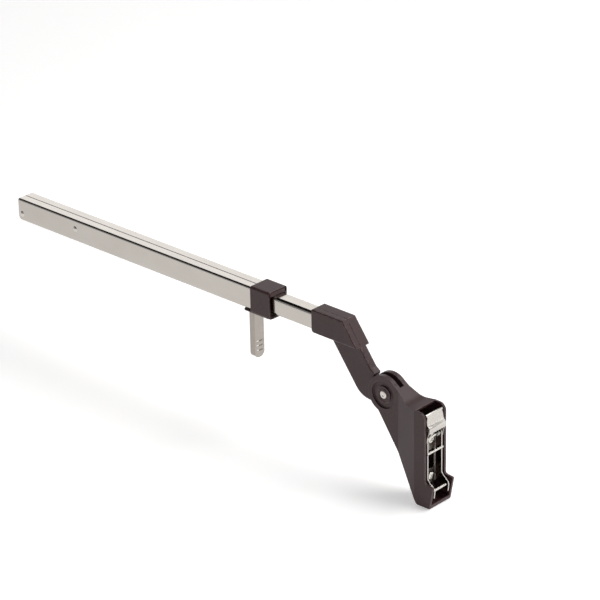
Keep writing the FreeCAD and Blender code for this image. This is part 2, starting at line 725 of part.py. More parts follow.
def rounded_wire(corners, radii):
    """Closed wire in the XZ plane: straight edges joined by tangent arcs where a radius is given."""
    points = [Vector(x, 0, z) for x, z in corners]
    count = len(points)
    edges, ends = [], []
    for index, corner in enumerate(points):
        before = (points[index - 1] - corner).normalize()
        after = (points[(index + 1) % count] - corner).normalize()
        radius = radii.get(index, 0.0)
        if not radius:
            ends.append((corner, None, corner))
            continue
        half_angle = before.getAngle(after) / 2
        reach = radius / math.tan(half_angle)
        bisector = (before + after).normalize()
        crown = corner + bisector * (radius / math.sin(half_angle) - radius)
        ends.append((corner + before * reach, crown, corner + after * reach))
    for index, (start, crown, stop) in enumerate(ends):
        if crown is not None:
            edges.append(Part.Arc(start, crown, stop).toShape())
        edges.append(Part.LineSegment(stop, ends[(index + 1) % count][0]).toShape())
    return Part.Wire(edges)


def face_in_xz(corners, y, radii=None):
    """Flat face of an outline at a depth, with some of its corners rounded."""
    face = Part.Face(rounded_wire(corners, radii or {}))
    face.translate(Vector(0, y, 0))
    return face


def slab(corners, y_low, y_high, radii=None):
    """Plain prism of an XZ outline between two depths."""
    return face_in_xz(corners, y_low, radii).extrude(Vector(0, y_high - y_low, 0))


def plan_prism(corners, z_low, z_high):
    """Plain prism of an XY outline between two heights."""
    wire = Part.makePolygon([Vector(x, y, z_low) for x, y in corners + corners[:1]])
    return Part.Face(wire).extrude(Vector(0, 0, z_high - z_low))


def foot_plan(half_wide, half_narrow, back, front):
    """Plan outline: narrow at the cheeks, flaring to the full width towards the front."""
    flare_start, flare_end = -float(s.flare_start), -float(s.flare_end)
    upper = [(back, half_narrow), (flare_start, half_narrow), (flare_end, half_wide),
             (front, half_wide)]
    return [(x, -y) for x, y in upper] + upper[::-1]


def build_foot():
    """Moulded clip foot: two cheeks around the pivot and a hollow, forward-facing scoop."""
    wall = float(s.foot_wall)
    corners = foot_outline()
    outline = numbers(corners.values())
    wide, narrow = float(foot_half), float(cheek_half)
    back, front = -90.0, 30.0
    low, high = -70.0, 70.0
    rounding = {"heel": 3.0, "toe_step": 2.0, "front_top": float(s.foot_round), "roof_back": 14.0}
    radii = {list(corners).index(corner): radius for corner, radius in rounding.items()}
    body = slab(outline, -wide, wide, radii).common(
        plan_prism(foot_plan(wide, narrow, back, front), low, high))
    px, pz = float(pivot[0]), float(pivot[1])
    cheek = Part.makeCylinder(float(s.cheek_radius), 2 * narrow, Vector(px, -narrow, pz),
                              Vector(0, 1, 0))
    body = body.fuse(cheek).removeSplitter()
    cavity_side = inset_outline(outline, wall)
    cavity_back = -float(s.cavity_back)
    cavity_limit = [(cavity_back, low), (front, low), (front, high), (cavity_back, high)]
    inner = slab(cavity_side, -wide, wide).common(slab(cavity_limit, -wide, wide))
    inner = inner.common(plan_prism(foot_plan(wide - wall, narrow - wall, back, front), low, high))
    mouth_corners = [
        (-float(s.web_back) - 1.5, -float(s.foot_drop) + wall + 0.6),
        (float(s.toe_reach) + 5.0, -float(s.foot_drop) + wall + 2.0),
        (float(s.toe_reach) + 5.0, float(s.foot_top) + 8.0),
        (-float(s.mouth_back), float(s.foot_top) + 8.0),
        (-float(s.mouth_back), float(s.foot_top) - wall - 0.5),
        (-float(s.web_back) - 1.5, float(s.foot_top) - wall - 4.0),
    ]
    mouth = slab(mouth_corners, -wide + wall, wide - wall)
    slot = Part.makeCylinder(float(s.slot_radius), 2 * float(slot_half),
                             Vector(px, -float(slot_half), pz), Vector(0, 1, 0))
    body = body.cut(inner).cut(mouth).cut(slot)
    body = body.fuse(foot_posts())
    body = cut_pivot_seats(body, px, pz, narrow)
    holes = [web_screw_hole(height) for height in (float(s.upper_screw), -float(s.lower_screw))]
    for hole in holes:
        body = body.cut(hole)
    foot = document.addObject("Part::Feature", "foot_shape")
    foot.Shape = body.removeSplitter()
    keep("foot_housing", foot)


def foot_posts():
    """Two screw posts that rise from the rear wall to the back of the clip chassis."""
    posts = []
    for height in (s.upper_screw, -s.lower_screw):
        root = max(float(on_foot_rear(height)) + 2.0, -float(s.cavity_back))
        posts.append(Part.makeCylinder(float(s.post_radius), float(web_rear) - root,
                                       Vector(root, 0, float(height)), Vector(1, 0, 0)))
    return posts[0].fuse(posts[1])


def web_screw_hole(height):
    """Pilot hole of a chassis screw in its post."""
    length = float(s.web_screw_length) + 1.0
    return Part.makeCylinder(float(s.web_screw) / 2, length,
                             Vector(float(web_rear) - length, 0, height), Vector(1, 0, 0))


def cut_pivot_seats(body, px, pz, narrow):
    """Bolt hole through both cheeks, and the dish with its boss on each cheek."""
    play = float(s.pivot_play)
    bolt = Part.makeCylinder(float(s.pivot_bolt) / 2 + play, 4 * narrow, Vector(px, -2 * narrow, pz),
                             Vector(0, 1, 0))
    body = body.cut(bolt)
    depth = float(s.dish_depth)
    for side in (-1, 1):
        start = Vector(px, side * narrow, pz)
        inward = Vector(0, -side, 0)
        dish = Part.makeCylinder(float(s.dish_radius), depth, start, inward)
        boss = Part.makeCylinder(float(s.boss_radius), depth, start, inward)
        head = Part.makeCylinder(float(s.pivot_head) / 2 + play, depth, start, inward)
        body = body.cut(dish.cut(boss)).cut(head)
    return body


def build_pivot_bolt():
    """Shouldered pivot rivet across the cheeks, with a washer-faced tail on the far side."""
    depth = s.dish_depth
    shank = cross_pin("pivot_shank", s.pivot_bolt / 2, *pivot, -cheek_half + depth,
                      cheek_half - depth)
    head = cross_pin("pivot_head_disc", s.pivot_head / 2, *pivot, -cheek_half,
                     -cheek_half + depth)
    keep("pivot_bolt", fuse("pivot_bolt", shank, head))
    tail = cross_pin("pivot_nut_disc", s.pivot_head / 2, *pivot, cheek_half - depth, cheek_half)
    keep("pivot_nut", tail)


# ---------------------------------------------------------------- clip mechanism


def build_chassis():
    """Steel channel screwed to the posts, its sides running down into two forward hooks."""
    side = prism("chassis_side", "XZ", [
        (web_rear, -34.5), (-2.4, -34.5), (hook_bar[0] - 1.6, hook_bar[1] - 3.0),
        (hook_bar[0] - 0.2, hook_bar[1] - 6.0), (hook_bar[0] + 1.6, hook_bar[1] - 6.0),
        (hook_bar[0] + 2.4, hook_bar[1] + 0.2), (hook_bar[0] + 1.4, hook_bar[1] + 2.8),
        (1.0, -27.2), (-0.5, -25.0), (-0.5, 11.0), (-2.4, 13.6), (web_rear, 13.6),
    ], -chassis_half, chassis_half)
    inside = block("chassis_inside", (web_front, web_front + 40.0),
                   (-chassis_half + s.chassis_sheet, chassis_half - s.chassis_sheet),
                   (-60.0, 40.0))
    window_top = -s.mid_bar_drop - s.clip_bar
    window_half = chassis_half - s.chassis_sheet - s.window_margin
    window = block("chassis_window", (web_rear - 1.0, web_front + 1.0),
                   (-window_half, window_half),
                   (window_top - s.window_length, window_top))
    screw_holes = [
        forward_pin(f"web_hole_{number}", s.web_screw / 2, web_rear - 1.0, web_front + 1.0, 0.0, z)
        for number, z in enumerate((s.upper_screw, -s.lower_screw), start=1)
    ]
    pin_holes = [
        cross_pin(f"chassis_pin_hole_{number}", s.clip_bar / 2, *place, -foot_half, foot_half)
        for number, place in enumerate((mid_bar, hook_bar, latch_pin), start=1)
    ]
    keep("clip_chassis", cut("clip_chassis", side, inside, window, *screw_holes, *pin_holes))


def build_bars():
    """Cross bars peened into the chassis sides, and the latch pin."""
    reach = chassis_half + 0.4
    keep("mid_bar", cross_pin("mid_bar_rod", s.clip_bar / 2, *mid_bar, -reach, reach))
    keep("hook_bar", cross_pin("hook_bar_rod", s.clip_bar / 2, *hook_bar, -reach, reach))
    keep("latch_pin", cross_pin("latch_pin_rod", s.clip_bar / 2, *latch_pin,
                                -foot_half + s.foot_wall + 0.2, foot_half - s.foot_wall - 0.2))


def build_chassis_screws():
    """Two pan-head screws that hold the chassis to its posts."""
    screws = []
    for number, z in enumerate((s.upper_screw, -s.lower_screw), start=1):
        head = forward_pin(f"web_screw_head_{number}", s.web_screw_head / 2, web_front,
                           web_front + s.screw_head_height, 0.0, z)
        shank = forward_pin(f"web_screw_shank_{number}", s.web_screw / 2,
                            web_rear - s.web_screw_length,
                            web_front, 0.0, z)
        screws.append(fuse(f"web_screw_{number}", head, shank))
    keep("chassis_screws", gather("chassis_screws", *screws))


def build_latch():
    """Curved latch plate on two side ears that turn on the latch pin."""
    half = s.latch_width / 2
    gap = 0.3
    plate = prism("latch_plate", "XZ", [
        (-1.0, 31.6), (-0.3, 27.0), (0.3, 22.8), (1.2, 20.0), (2.6, 17.6), (2.5, 15.6), (1.2, 14.6),
        (0.3, 15.3), (1.5, 16.3), (1.6, 17.2), (0.3, 19.5), (-0.6, 22.6), (-1.2, 27.0),
        (-1.9, 31.6),
    ], -half, half)
    ear = prism("latch_ear", "XZ", [
        (latch_pin[0] - 2.2, latch_pin[1] - 2.4), (latch_pin[0] + 2.2, latch_pin[1] - 2.4),
        (latch_pin[0] + 3.2, latch_pin[1] + 3.0), (1.3, 15.2), (1.4, 17.0), (0.0, 20.0),
        (latch_pin[0] - 2.2, latch_pin[1] + 5.0),
    ], -half, half)
    between = block("latch_between", (-20.0, 20.0), (-chassis_half - gap, chassis_half + gap),
                    (0.0, 40.0))
    ears = cut("latch_ears", ear, between)
    neck = prism("latch_neck", "XZ", [
        (0.4, 15.0), (1.2, 15.6), (1.3, 14.2), (latch_pin[0] + 3.0, latch_pin[1] + 1.6),
        (latch_pin[0] + 1.0, latch_pin[1] - 0.6), (latch_pin[0] - 0.6, latch_pin[1] + 1.0),
        (latch_pin[0] + 1.8, latch_pin[1] + 2.6),
    ], -s.neck_outer, s.neck_inner)
    knuckle = cross_pin("latch_knuckle", s.clip_bar / 2 + s.latch_sheet, *latch_pin,
                        -s.neck_outer, s.neck_inner)
    hole = cross_pin("latch_hole", s.clip_bar / 2 + s.pivot_play, *latch_pin, -foot_half,
                     foot_half)
    keep("clip_latch", cut("clip_latch", fuse("latch_body", plate, ears, neck, knuckle), hole))


def build_latch_spring():
    """Torsion spring around the latch pin: a coil and two straight legs."""
    wire, turns, pitch, inner_end = 0.4, 4, 0.95, 3.4
    radius = float(s.clip_bar) / 2 + wire + 0.15
    height = turns * pitch
    helix = Part.makeHelix(pitch, height, radius)
    start = helix.Vertexes[0].Point
    tangent = helix.Edges[0].tangentAt(helix.Edges[0].FirstParameter)
    section = Part.Wire(Part.makeCircle(wire, start, tangent))
    coil = Part.Wire(helix).makePipeShell([section], True, True)
    coil.Placement = Placement(
        Vector(float(latch_pin[0]), inner_end + height, float(latch_pin[1])),
        Rotation(Vector(1, 0, 0), 90))
    spring = document.addObject("Part::Feature", "latch_spring_coil")
    spring.Shape = coil
    keep("latch_spring", spring)


build_outer_rail()
build_rail_rivets()
build_rail_blocks()
build_collar()
build_lever()
build_brake()
build_inner_rail()
build_core()
document.recompute()
build_elbow_shells()
build_foot()
build_pivot_bolt()
build_chassis()
build_bars()
build_chassis_screws()
build_latch()
build_latch_spring()

# ---------------------------------------------------------------- check and export

document.recompute()
for item in document.Objects:
    if "Invalid" in item.State or "Error" in item.State:
        raise RuntimeError(f"{item.Label} did not build: {item.State}")
os.makedirs("parts", exist_ok=True)
for name, item in nodes.items():
    shape = item.Shape
    if shape.isNull() or not shape.isValid():
        raise RuntimeError(f"{name} has no valid shape")
    print(f"{name}: {len(shape.Solids)} solid(s), volume {shape.Volume:.1f}")
    shape.exportStep(f"parts/{name}.step")
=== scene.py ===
"""Telescopic clip-on bracket arm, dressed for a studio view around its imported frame.

Lengths in the classes are millimetres and every object is made in metres, in the part's own
frame: +X out of the foot's mounting plane, +Z up, and the rails run back along -X.
"""

from __future__ import annotations

import logging
import math
from dataclasses import dataclass
from enum import Enum
from typing import Callable, Mapping, Sequence

import bmesh
import bpy
from mathutils import Matrix, Vector

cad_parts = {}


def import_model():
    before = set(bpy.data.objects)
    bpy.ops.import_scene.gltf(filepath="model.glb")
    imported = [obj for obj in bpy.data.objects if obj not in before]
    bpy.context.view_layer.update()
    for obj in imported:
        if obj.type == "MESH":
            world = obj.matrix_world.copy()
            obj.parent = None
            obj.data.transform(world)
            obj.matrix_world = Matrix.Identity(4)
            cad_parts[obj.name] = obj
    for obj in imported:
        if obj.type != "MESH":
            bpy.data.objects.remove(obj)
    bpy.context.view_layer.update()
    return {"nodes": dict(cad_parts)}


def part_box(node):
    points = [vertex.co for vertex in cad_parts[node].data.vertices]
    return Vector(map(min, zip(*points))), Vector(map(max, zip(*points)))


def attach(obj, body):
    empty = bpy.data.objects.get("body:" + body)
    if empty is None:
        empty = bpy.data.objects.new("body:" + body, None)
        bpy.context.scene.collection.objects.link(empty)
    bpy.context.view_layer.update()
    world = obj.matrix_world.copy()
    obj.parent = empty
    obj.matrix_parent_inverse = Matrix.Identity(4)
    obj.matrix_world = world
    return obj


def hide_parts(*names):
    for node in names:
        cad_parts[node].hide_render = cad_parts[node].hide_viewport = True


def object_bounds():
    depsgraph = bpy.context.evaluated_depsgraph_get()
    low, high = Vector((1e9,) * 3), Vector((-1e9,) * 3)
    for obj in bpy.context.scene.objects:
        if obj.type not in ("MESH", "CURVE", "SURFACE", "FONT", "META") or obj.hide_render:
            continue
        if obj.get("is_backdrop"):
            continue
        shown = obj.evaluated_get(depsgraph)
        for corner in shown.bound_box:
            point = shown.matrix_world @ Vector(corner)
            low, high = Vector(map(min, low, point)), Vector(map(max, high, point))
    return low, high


LOG = logging.getLogger("bracket_arm")
MM = 0.001
FLAT_AREA = 30.0  # square mm: larger faces are flats, and keep their own normal
SNAP = 0.01  # mm: points nearer than this to a plane lie on it
WELD = 0.002  # mm: points nearer than this are one point
COPLANAR = 0.6  # degrees: faces that turn less than this are one flat
FACET = 28.0  # degrees: flatter joints than this belong to one curved face
ROUNDING_STEPS = 3  # faces across one rounding
TURNED_STEPS = 40  # faces around a turned piece
LINE_STEPS = 6  # points on a smooth line for each span

Outline = Sequence[tuple[float, float]]
Socket = bpy.types.NodeSocket


class Body(Enum):
    """Bodies of the frame that pieces ride on."""

    FOOT = "foot"
    LATCH = "latch"
    ARM = "arm"
    RAIL = "rail"
    LEVER = "lever"


class Slot(Enum):
    """Material slots of the record."""

    NICKEL = "nickel_steel"
    BRIGHT = "bright_steel"
    BROWN = "brown_plastic"
    BLACK = "black_plastic"


# ------------------------------------------------------------------ node helpers


def linear(code: str) -> tuple[float, float, float, float]:
    """Turn an sRGB hex colour into linear light.

    Args:
        code: Six hex digits, red first.

    Returns:
        Red, green, blue and an alpha of one.
    """
    channels = [int(code[at:at + 2], 16) / 255 for at in (0, 2, 4)]
    red, green, blue = (
        c / 12.92 if c <= 0.04045 else ((c + 0.055) / 1.055) ** 2.4 for c in channels
    )
    return red, green, blue, 1.0


def add_node(
    tree: bpy.types.NodeTree,
    kind: str,
    inputs: Mapping[str | int, object] | None = None,
    **settings: object,
) -> bpy.types.Node:
    """Add a node with its settings, its values and its links.

    Args:
        tree: Node tree that gets the node.
        kind: Blender's type name of the node.
        inputs: Value, or the output socket to link, for each named input.
        settings: Properties of the node itself.

    Returns:
        The new node.
    """
    node = tree.nodes.new(kind)
    for name, value in settings.items():
        setattr(node, name, value)
    for name, value in (inputs or {}).items():
        if isinstance(value, Socket):
            tree.links.new(value, node.inputs[name])
        else:
            node.inputs[name].default_value = value
    return node


def fresh_tree(owner: bpy.types.Material | bpy.types.World) -> bpy.types.NodeTree:
    """Switch a material or world to nodes and empty its tree.

    Args:
        owner: Material or world to prepare.

    Returns:
        Its empty node tree.
    """
    owner.use_nodes = True
    owner.node_tree.nodes.clear()
    return owner.node_tree


def stretched_place(tree: bpy.types.NodeTree, spacing: Sequence[float]) -> Socket:
    """Object coordinates scaled so that one unit is the given spacing along each axis.

    Args:
        tree: Node tree to add to.
        spacing: Real length of one pattern unit along X, Y and Z, in mm.

    Returns:
        The scaled vector.
    """
    place = add_node(tree, "ShaderNodeTexCoord")
    scaled = add_node(tree, "ShaderNodeMapping", {
        "Vector": place.outputs["Object"],
        "Scale": [1 / (length * MM) for length in spacing],
    })
    return scaled.outputs["Vector"]


# ------------------------------------------------------------------ finishes


@dataclass(frozen=True)
class PlatedSteel:
    """Steel sheet or tube with a bright plated skin that keeps the marks of its forming.

    Attributes:
        name: Common name of the metal and of how its surface was made.
        skin: sRGB colour of clean plating.
        handled: sRGB colour of plating dulled by handling.
        grain: Length of a forming mark along X, Y and Z, in mm.
        smooth: Roughness of the brightest marks.
        dull: Roughness of the dullest marks.
        relief: Depth of the marks, in mm.
        clouds: Size of a handled patch along X, Y and Z, in mm.
        rub: How much less rough a rubbed edge is.
    """

    name: str
    skin: str
    handled: str
    grain: tuple[float, float, float]
    smooth: float
    dull: float
    relief: float
    clouds: tuple[float, float, float] = (40.0, 25.0, 25.0)
    rub: float = 0.06

    def build(self) -> bpy.types.Material:
        """Make the material.

        Returns:
            A metal with drawn marks, cloudy dulling and paler edges.
        """
        material = bpy.data.materials.new(self.name)
        tree = fresh_tree(material)
        # Fine streaks in the direction of drawing: they break the reflections into soft bands.
        streaks = add_node(tree, "ShaderNodeTexNoise", {
            "Vector": stretched_place(tree, self.grain), "Scale": 1.0, "Detail": 4.0,
            "Roughness": 0.6,
        })
        # Wide clouds, where the plating has been handled.
        clouds = add_node(tree, "ShaderNodeTexNoise", {
            "Vector": stretched_place(tree, self.clouds), "Scale": 1.0, "Detail": 3.0,
        })
        edges = add_node(tree, "ShaderNodeAttribute", attribute_name="edge_wear")
        tone = add_node(tree, "ShaderNodeMix", {
            "Factor": clouds.outputs["Fac"], "A": linear(self.skin), "B": linear(self.handled),
        }, data_type="RGBA")
        dulling = add_node(tree, "ShaderNodeMapRange", {
            "Value": streaks.outputs["Fac"], "From Min": 0.3, "From Max": 0.7,
            "To Min": self.smooth, "To Max": self.dull,
        })
        # Edges are rubbed smooth, so they catch a tighter highlight.
        rubbed = add_node(tree, "ShaderNodeMath", {
            0: dulling.outputs["Result"],
            1: add_node(tree, "ShaderNodeMath", {0: edges.outputs["Fac"], 1: -self.rub},
                        operation="MULTIPLY").outputs[0],
        }, operation="ADD")
        relief = add_node(tree, "ShaderNodeBump", {
            "Height": streaks.outputs["Fac"], "Strength": 0.6, "Distance": self.relief * MM,
        })
        metal = add_node(tree, "ShaderNodeBsdfPrincipled", {
            "Base Color": tone.outputs["Result"], "Metallic": 1.0,
            "Roughness": rubbed.outputs[0], "Normal": relief.outputs["Normal"],
        })
        add_node(tree, "ShaderNodeOutputMaterial", {"Surface": metal.outputs["BSDF"]})
        return material


@dataclass(frozen=True)
class MouldedNylon:
    """Glass-filled nylon moulded against a spark-eroded tool.

    Attributes:
        name: Common name of the plastic and of how its surface was made.
        body: sRGB colour of the plastic.
        dusty: sRGB colour where the grain holds dust.
        rubbed: sRGB colour of edges rubbed pale.
        grain: Width of one grain pit, in mm.
        roughness: Roughness between the pits.
        relief: Depth of the pits, in mm.
        fibre: Length of a glass fibre's mark, in pits.
        flow: Size of a flow cloud along X, Y and Z, in mm.
        spread: How far the roughness falls below and rises above its middle.
    """

    name: str
    body: str
    dusty: str
    rubbed: str
    grain: float
    roughness: float
    relief: float
    fibre: float = 4.0
    flow: tuple[float, float, float] = (18.0, 18.0, 30.0)
    spread: tuple[float, float] = (0.06, 0.08)

    def build(self) -> bpy.types.Material:
        """Make the material.

        Returns:
            A dark plastic with a fine matt grain and pale edges.
        """
        material = bpy.data.materials.new(self.name)
        tree = fresh_tree(material)
        # Real spark grain is about 0.1 mm; it is drawn coarser here so that it still shows.
        pits = add_node(tree, "ShaderNodeTexVoronoi", {
            "Vector": stretched_place(tree, (self.grain,) * 3), "Scale": 1.0,
        }, feature="SMOOTH_F1")
        fibres = add_node(tree, "ShaderNodeTexNoise", {
            "Vector": stretched_place(tree, (self.grain * self.fibre,) * 3), "Scale": 1.0,
            "Detail": 5.0, "Roughness": 0.65,
        })
        # Flow clouds from the gate.
        flow = add_node(tree, "ShaderNodeTexNoise", {
            "Vector": stretched_place(tree, self.flow), "Scale": 1.0, "Detail": 2.0,
        })
        speckle = add_node(tree, "ShaderNodeMapRange", {
            "Value": fibres.outputs["Fac"], "From Min": 0.35, "From Max": 0.7,
        })
        dust = add_node(tree, "ShaderNodeMath", {
            0: speckle.outputs["Result"], 1: flow.outputs["Fac"],
        }, operation="MULTIPLY")
        tone = add_node(tree, "ShaderNodeMix", {
            "Factor": dust.outputs[0], "A": linear(self.body), "B": linear(self.dusty),
        }, data_type="RGBA")
        edges = add_node(tree, "ShaderNodeAttribute", attribute_name="edge_wear")
        worn = add_node(tree, "ShaderNodeMath", {
            0: edges.outputs["Fac"], 1: speckle.outputs["Result"],
        }, operation="MULTIPLY")
        colour = add_node(tree, "ShaderNodeMix", {
            "Factor": worn.outputs[0], "A": tone.outputs["Result"], "B": linear(self.rubbed),
        }, data_type="RGBA")
        matt = add_node(tree, "ShaderNodeMapRange", {
            "Value": fibres.outputs["Fac"], "From Min": 0.3, "From Max": 0.7,
            "To Min": self.roughness - self.spread[0],
            "To Max": self.roughness + self.spread[1],
        })
        relief = add_node(tree, "ShaderNodeBump", {
            "Height": pits.outputs["Distance"], "Strength": 0.5, "Distance": self.relief * MM,
        })
        plastic = add_node(tree, "ShaderNodeBsdfPrincipled", {
            "Base Color": colour.outputs["Result"], "Roughness": matt.outputs["Result"],
            "IOR": 1.53, "Specular IOR Level": 0.4, "Normal": relief.outputs["Normal"],
        })
        add_node(tree, "ShaderNodeOutputMaterial", {"Surface": plastic.outputs["BSDF"]})
        return material


class Finishes:
    """Every finish of the bracket arm, built once and shared."""

    def __init__(self) -> None:
        """Build the finishes."""
        # Tube drawn through rollers: near mirror, streaked along the rail.
        self.rolled_nickel = PlatedSteel(
            "roll_formed_nickel_plated_steel", skin="c6c1bb", handled="b8b2ab",
            grain=(60.0, 0.5, 0.5), smooth=0.10, dull=0.20, relief=0.004).build()
        # Pressed sheet: softer reflections, with marks that run up the sheet.
        self.pressed_nickel = PlatedSteel(
            "pressed_nickel_plated_steel", skin="cbc7c1", handled="bbb6b0",
            grain=(3.0, 0.6, 20.0), smooth=0.24, dull=0.33, relief=0.003).build()
        # Pressed sheet without the bright nickel: greyer and satin.
        self.passivated_steel = PlatedSteel(
            "passivated_pressed_steel", skin="ada7a0", handled="948d86",
            grain=(3.0, 0.6, 20.0), smooth=0.24, dull=0.38, relief=0.004).build()
        # Painted shade for the chassis's recessed inner faces: brown, patchy and half shiny
        # sheet.
        self.painted_shade_steel = PlatedSteel(
            "pressed_steel_painted_shade", skin="5b4c46", handled="3b302c",
            grain=(4.0, 4.0, 9.0), smooth=0.22, dull=0.42, relief=0.01).build()
        # Painted shade of the outer rail's open seam: a nearly black and matt strip.
        self.painted_seam_shade = PlatedSteel(
            "black_matt_seam_shadow", skin="2b2725", handled="46403c",
            grain=(9.0, 0.3, 0.3), smooth=0.45, dull=0.65, relief=0.01).build()
        # Pins and heads: the brightest metal, with fine marks along their length.
        self.turned_steel = PlatedSteel(
            "turned_bright_steel", skin="d9d5cf", handled="c3beb6",
            grain=(0.4, 6.0, 0.4), smooth=0.15, dull=0.28, relief=0.006).build()
        # Drawn wire: bright, with specks instead of streaks.
        self.spring_wire = PlatedSteel(
            "drawn_spring_wire", skin="c7c3bd", handled="aca79f",
            grain=(0.3, 0.3, 0.3), smooth=0.22, dull=0.32, relief=0.005).build()
        # Dark red-brown with a matt grain, dust in the pits and pale edges.
        self.grained_nylon = MouldedNylon(
            "glass_filled_nylon_spark_grain", body="32181a", dusty="4b3336", rubbed="7d6c6d",
            grain=0.45, roughness=0.46, relief=0.04).build()
        # Blacker than the housings and a little smoother.
        self.black_nylon = MouldedNylon(
            "black_nylon_moulded", body="171516", dusty="242122", rubbed="3c3838",
            grain=0.4, roughness=0.42, relief=0.03).build()


# ------------------------------------------------------------------ shaping helpers


def link(name: str, mesh: bpy.types.Mesh) -> bpy.types.Object:
    """Put a mesh into the scene as an object at the origin.

    Args:
        name: Name of the piece.
        mesh: Its mesh, in metres.

    Returns:
        The new object.
    """
    piece = bpy.data.objects.new(name, mesh)
    bpy.context.scene.collection.objects.link(piece)
    return piece


def settle(piece: bpy.types.Object) -> None:
    """Replace a piece's mesh by the result of its modifiers.

    Args:
        piece: Mesh object with modifiers.
    """
    bpy.context.view_layer.update()
    shaped = piece.evaluated_get(bpy.context.evaluated_depsgraph_get())
    mesh = bpy.data.meshes.new_from_object(shaped)
    piece.modifiers.clear()
    piece.data = mesh


def shade(piece: bpy.types.Object, crease: float = 32.0, flat_faces: bool = True) -> None:
    """Shade a piece smoothly up to a crease angle.

    Args:
        piece: Mesh object to shade.
        crease: Angle in degrees above which an edge stays sharp.
        flat_faces: Keep large faces flat, so that only the rounding turns the light.
    """
    mesh = piece.data
    mesh.shade_smooth()
    mesh.set_sharp_from_angle(angle=math.radians(crease))
    for face in mesh.polygons:
        if flat_faces and face.area > FLAT_AREA * MM * MM:
            for corner in face.loop_indices:
                mesh.edges[mesh.loops[corner].edge_index].use_edge_sharp = True
    piece.modifiers.clear()
    if flat_faces:
        weighted = piece.modifiers.new("flat_faces", "WEIGHTED_NORMAL")
        weighted.keep_sharp = True


def mark_wear(piece: bpy.types.Object, rounding_index: int) -> None:
    """Store where the rounded edges are, for finishes that rub through there.

    Args:
        piece: Mesh object whose rounded faces carry a material index of their own.
        rounding_index: That index.
    """
    mesh = piece.data
    worn = [1.0] * len(mesh.vertices)
    for face in mesh.polygons:
        if face.material_index != rounding_index:
            for vertex in face.vertices:
                worn[vertex] = 0.0
        face.material_index = 0
    wear = mesh.attributes.new("edge_wear", "FLOAT", "POINT")
    wear.data.foreach_set("value", worn)


def round_edges(
    piece: bpy.types.Object, radius_of: Callable[[bmesh.types.BMEdge], float]
) -> None:
    """Round the sharp edges of a piece, each by its own radius.

    Args:
        piece: Mesh object with clean flat faces.
        radius_of: Gives the radius of an edge, in mm.
    """
    work = bmesh.new()
    work.from_mesh(piece.data)
    weight = work.edges.layers.float.new("bevel_weight_edge")
    sharp = {
        edge: radius_of(edge)
        for edge in work.edges
        if edge.is_manifold and edge.calc_face_angle() > math.radians(FACET)
    }
    widest = max(sharp.values())
    for edge, radius in sharp.items():
        edge[weight] = radius / widest
    work.to_mesh(piece.data)
    work.free()
    while len(piece.data.materials) < 2:
        piece.data.materials.append(None)
    bevel = piece.modifiers.new("rounding", "BEVEL")
    bevel.limit_method = "WEIGHT"
    bevel.width = widest * MM
    bevel.segments = ROUNDING_STEPS
    bevel.material = 1
    bevel.use_clamp_overlap = False
    settle(piece)
    mark_wear(piece, rounding_index=1)
    shade(piece)


def is_convex(edge: bmesh.types.BMEdge) -> bool:
    """Whether an edge stands proud."""
    return edge.calc_face_angle_signed() > 0


def clean_copy(node: bpy.types.Object, name: str) -> bpy.types.Object:
    """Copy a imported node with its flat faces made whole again.

    Args:
        node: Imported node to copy.
        name: Name of the copy.

    Returns:
        A new object that can be shaped.
    """
    work = bmesh.new()
    work.from_mesh(node.data)
    bmesh.ops.remove_doubles(work, verts=work.verts, dist=WELD * MM)
    bmesh.ops.dissolve_limit(work, angle_limit=math.radians(COPLANAR), verts=work.verts,
                             edges=work.edges)
    mesh = bpy.data.meshes.new(name)
    work.to_mesh(mesh)
    work.free()
    return link(name, mesh)


def lathe(name: str, profile: Outline, centre: Vector, axis: Vector) -> bpy.types.Object:
    """Turn a profile about an axis.

    Args:
        name: Name of the piece.
        profile: Radius and height of each point, in mm. A radius of zero closes the end, and a
            last point equal to the first makes a ring.
        centre: Start of the axis, in mm.
        axis: Direction in which heights are counted.

    Returns:
        A closed turned object.
    """
    work = bmesh.new()
    turn = Vector((0, 0, 1)).rotation_difference(axis).to_matrix()
    rings: list[list[bmesh.types.BMVert]] = []
    hollow = profile[0] == profile[-1]
    for radius, height in profile[:-1] if hollow else profile:
        angles = [math.tau * k / TURNED_STEPS for k in range(TURNED_STEPS if radius > 0 else 1)]
        rings.append([
            work.verts.new((centre + turn @ Vector((
                radius * math.cos(angle), radius * math.sin(angle), height))) * MM)
            for angle in angles
        ])
    if hollow:
        rings.append(rings[0])
    for lower, upper in zip(rings, rings[1:]):
        for k in range(TURNED_STEPS):
            corners = [lower[k % len(lower)], lower[(k + 1) % len(lower)],
                       upper[(k + 1) % len(upper)], upper[k % len(upper)]]
            work.faces.new(list(dict.fromkeys(corners)))
    for ring, last in ((rings[0], False), (rings[-1], True)):
        if len(ring) > 1 and not hollow:
            work.faces.new(ring if last else ring[::-1])
    bmesh.ops.recalc_face_normals(work, faces=work.faces)
    mesh = bpy.data.meshes.new(name)
    work.to_mesh(mesh)
    work.free()
    return link(name, mesh)


def side_plate(name: str, outline: Outline, y_low: float, y_high: float) -> bpy.types.Object:
    """Cut a plate from an outline in the XZ plane.

    Args:
        name: Name of the piece.
        outline: X and Z of each corner, in mm.
        y_low: Near face, in mm.
        y_high: Far face, in mm.

    Returns:
        A closed prism.
    """
    work = bmesh.new()
    near = [work.verts.new(Vector((x, y_low, z)) * MM) for x, z in outline]
    face = work.faces.new(near)
    grown = bmesh.ops.extrude_face_region(work, geom=[face])["geom"]
    moved = [item for item in grown if isinstance(item, bmesh.types.BMVert)]
    bmesh.ops.translate(work, verts=moved, vec=(0, (y_high - y_low) * MM, 0))
    bmesh.ops.recalc_face_normals(work, faces=work.faces)
    mesh = bpy.data.meshes.new(name)
    work.to_mesh(mesh)
    work.free()
    return link(name, mesh)


